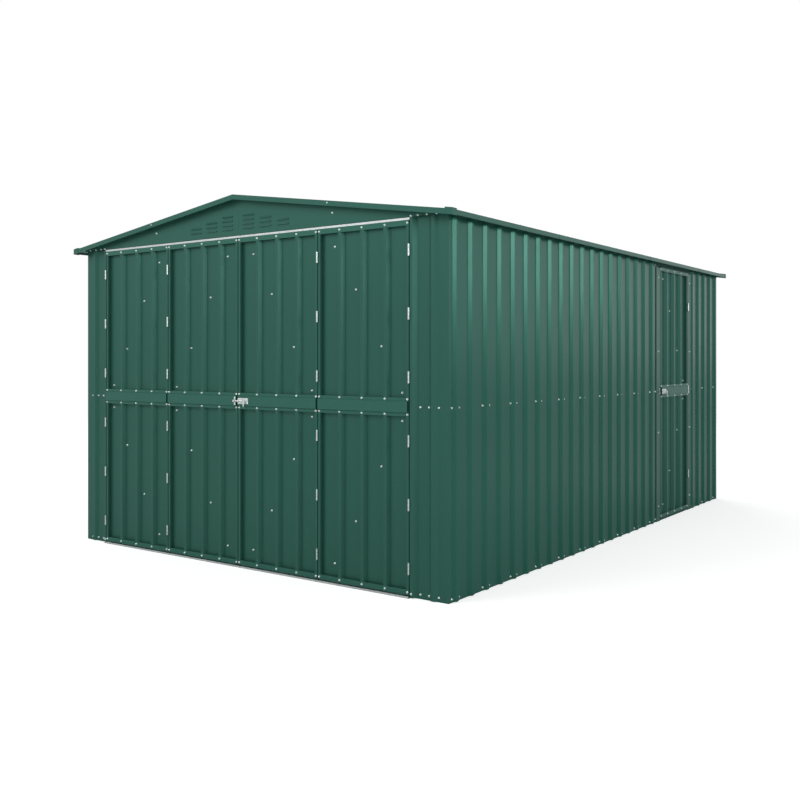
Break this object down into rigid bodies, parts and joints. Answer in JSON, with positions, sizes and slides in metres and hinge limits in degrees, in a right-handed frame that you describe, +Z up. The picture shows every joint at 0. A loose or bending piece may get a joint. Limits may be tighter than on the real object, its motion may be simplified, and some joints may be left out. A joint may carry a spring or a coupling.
{
  "type": "metal garage",
  "caption": "Hollow ribbed steel garage with a shallow gable roof, folding front doors with belts, hinges and bolt, and a hinged side door.",
  "frame": {"origin": "on the ground in the middle of the plan", "axes": "+Y runs from the folding doors to the rear wall, +X towards the side door, +Z up"},
  "size_m": [3.183, 4.695, 2.2872],
  "materials": {
    "green_sheet": "satin",
    "green_door": "satin",
    "green_roof": "satin",
    "green_trim": "satin",
    "green_frame": "satin",
    "galvanised_track": "galvanised",
    "zinc_fittings": "zinc plated"
  },
  "bodies": {
    "root": {"left_wall": "green_sheet", "rear_wall": "green_sheet", "right_wall_front": "green_sheet", "right_wall_rear": "green_sheet", "front_panel_left": "green_sheet", "front_panel_right": "green_sheet", "base_rails": "green_frame", "floor_track": "galvanised_track", "mid_rails": "green_frame", "top_rail_left": "green_frame", "top_rail_right": "green_frame", "front_header": "green_frame", "rear_header": "green_frame", "door_track": "galvanised_track", "corner_posts": "green_frame", "door_posts": "green_frame", "side_jambs": "green_sheet", "side_header": "green_sheet", "side_threshold": "green_frame", "door_leaf_1": "green_door", "door_leaf_2": "green_door", "door_leaf_3": "green_door", "door_leaf_4": "green_door", "left_pair_rails": "green_door", "right_pair_rails": "green_door", "door_braces": "green_frame", "jamb_hinges": "zinc_fittings", "fold_hinges": "zinc_fittings", "front_lock": "zinc_fittings", "front_bolt": "zinc_fittings", "side_door_pins": "zinc_fittings", "side_keeper": "zinc_fittings", "roof_left": "green_roof", "roof_right": "green_roof", "ridge_cap": "green_roof", "ridge_beam": "green_frame", "purlins": "green_frame", "front_gable": "green_sheet", "rear_gable": "green_sheet", "barge_trims": "green_trim", "eave_trims": "green_trim", "corner_caps": "green_trim"},
    "side_door": {"side_door": "green_door", "side_door_rails": "green_door", "side_door_braces": "green_frame", "side_door_barrels": "zinc_fittings", "side_lock": "zinc_fittings"},
    "side_bolt": {"side_bolt": "zinc_fittings"}
  },
  "joints": [
    {"name": "side_door_hinge", "type": "hinge", "parent": "root", "child": "side_door", "pos_m": [1.5373, 1.462, 1], "axis": [0, 0, 1], "range_deg": [0, 110]},
    {"name": "side_bolt_slide", "type": "slide", "parent": "side_door", "child": "side_bolt", "axis": [0, -1, 0], "range_m": [0, 0.03]}
  ]
}
